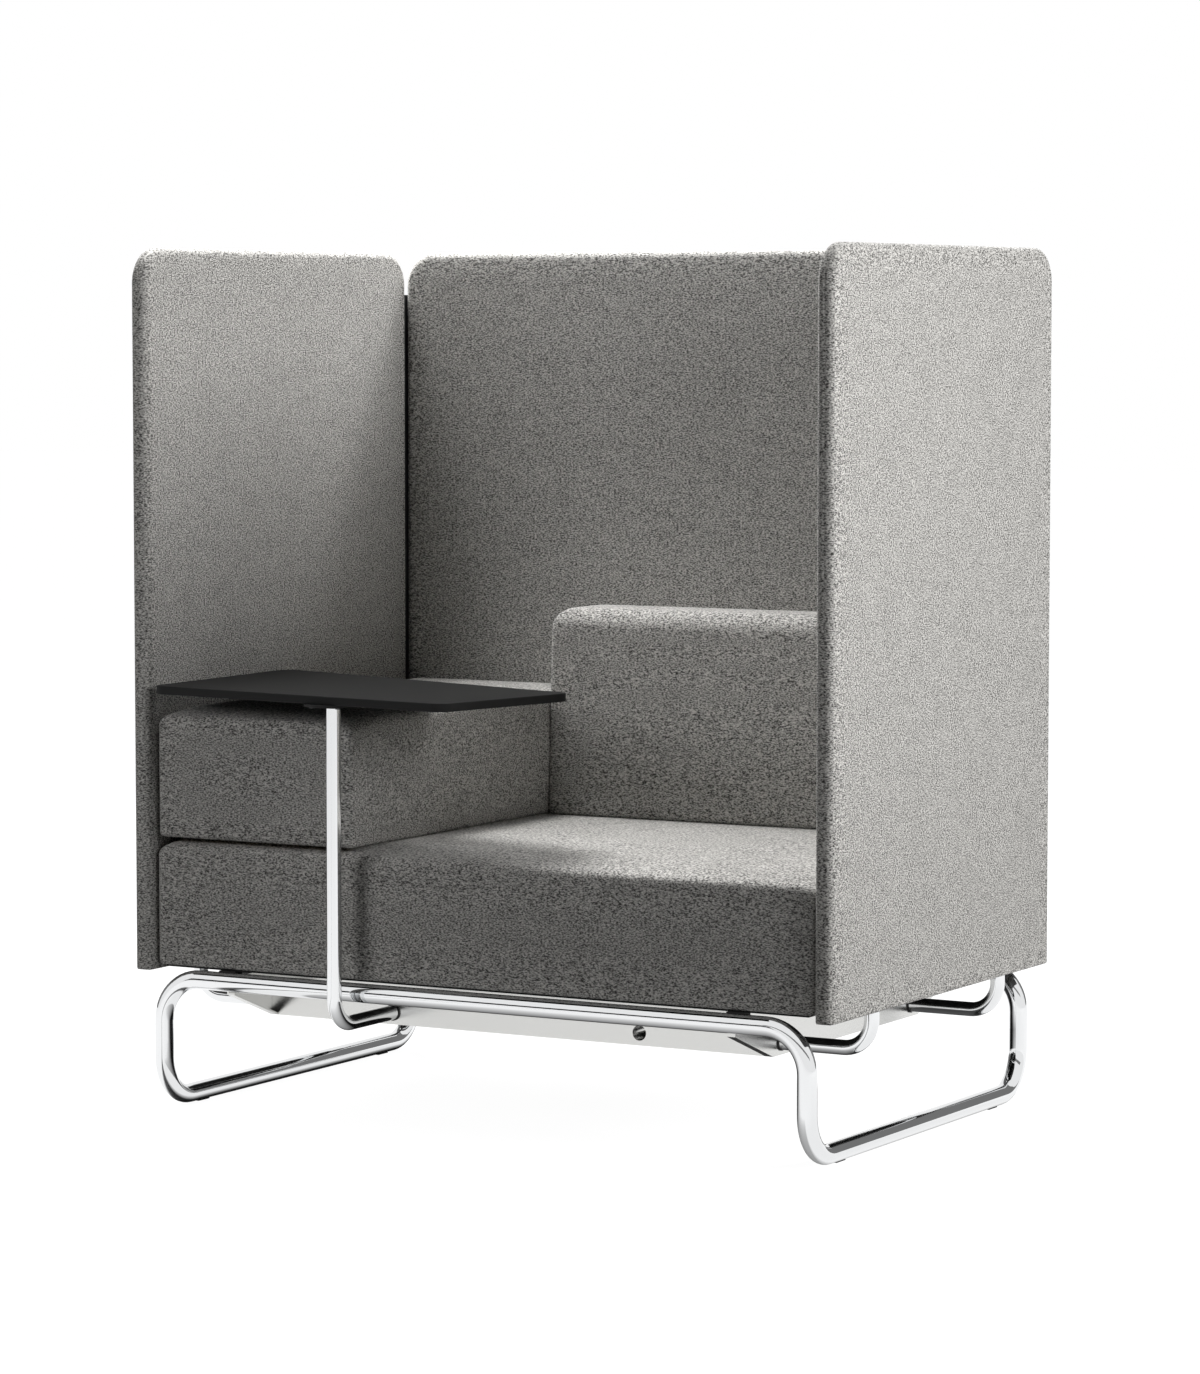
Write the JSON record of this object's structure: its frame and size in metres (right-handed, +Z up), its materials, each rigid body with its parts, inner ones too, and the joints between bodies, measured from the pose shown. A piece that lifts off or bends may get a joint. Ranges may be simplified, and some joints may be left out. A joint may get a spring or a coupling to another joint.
{
  "type": "screened lounge seat with swivel tablet",
  "caption": "Padded lounge seat on a bent tube frame, with high felt screens on its sides and back, a broad arm cushion and a writing tablet that swivels on a front post.",
  "frame": {"origin": "on the floor, under the middle of the whole object's outline", "axes": "+X to the right as seen from the front, +Y towards the back screen, +Z up"},
  "size_m": [1.23, 0.9074, 1.356],
  "materials": {
    "grey_felt": "matte",
    "bright_chrome": "polished",
    "silver_sheet": "satin",
    "plain_steel": "satin",
    "black_plastic": "matte",
    "black_rubber": "matte",
    "black_board": "matte",
    "birch_board": "matte",
    "black_steel": "matte",
    "black_laminate": "matte"
  },
  "bodies": {
    "base": {"arm_board": "birch_board", "arm_cushion": "grey_felt", "back_board": "birch_board", "back_cushion": "grey_felt", "back_left_stem": "bright_chrome", "back_right_stem": "bright_chrome", "back_screen_core": "birch_board", "back_screen_cover": "grey_felt", "back_screen_strip": "black_plastic", "front_beam": "silver_sheet", "front_bow": "bright_chrome", "left_corner_profile": "black_plastic", "left_cross_member": "silver_sheet", "left_front_stem": "bright_chrome", "left_post_block": "silver_sheet", "left_rear_stem": "bright_chrome", "left_runner": "bright_chrome", "left_screen_core": "birch_board", "left_screen_cover": "grey_felt", "left_screen_strip": "black_plastic", "leg_sleeves": "plain_steel", "post_bush": "black_plastic", "post_grub_screw": "plain_steel", "post_ring": "black_plastic", "rail_pads": "black_rubber", "rear_beam": "silver_sheet", "rear_bow": "bright_chrome", "right_corner_profile": "black_plastic", "right_cross_member": "silver_sheet", "right_front_stem": "bright_chrome", "right_post_block": "silver_sheet", "right_rear_stem": "bright_chrome", "right_runner": "bright_chrome", "right_screen_core": "birch_board", "right_screen_cover": "grey_felt", "right_screen_strip": "black_plastic", "runner_glides": "black_plastic", "screen_blocks": "silver_sheet", "screen_grub_screws": "plain_steel", "screen_pegs": "plain_steel", "screen_rings": "black_plastic", "seat_board": "black_board", "seat_bolts": "plain_steel", "seat_cushion": "grey_felt", "seat_washers": "black_plastic", "tablet_post": "bright_chrome"},
    "tablet": {"tablet_top": "black_laminate", "tablet_plate": "black_steel", "tablet_screws": "plain_steel", "swivel_spigot": "plain_steel"}
  },
  "joints": [
    {"name": "tablet_swivel", "type": "hinge", "parent": "base", "child": "tablet", "pos_m": [-0.22, -0.39, 0.66], "axis": [0, 0, 1], "range_deg": [-220, 0]}
  ]
}
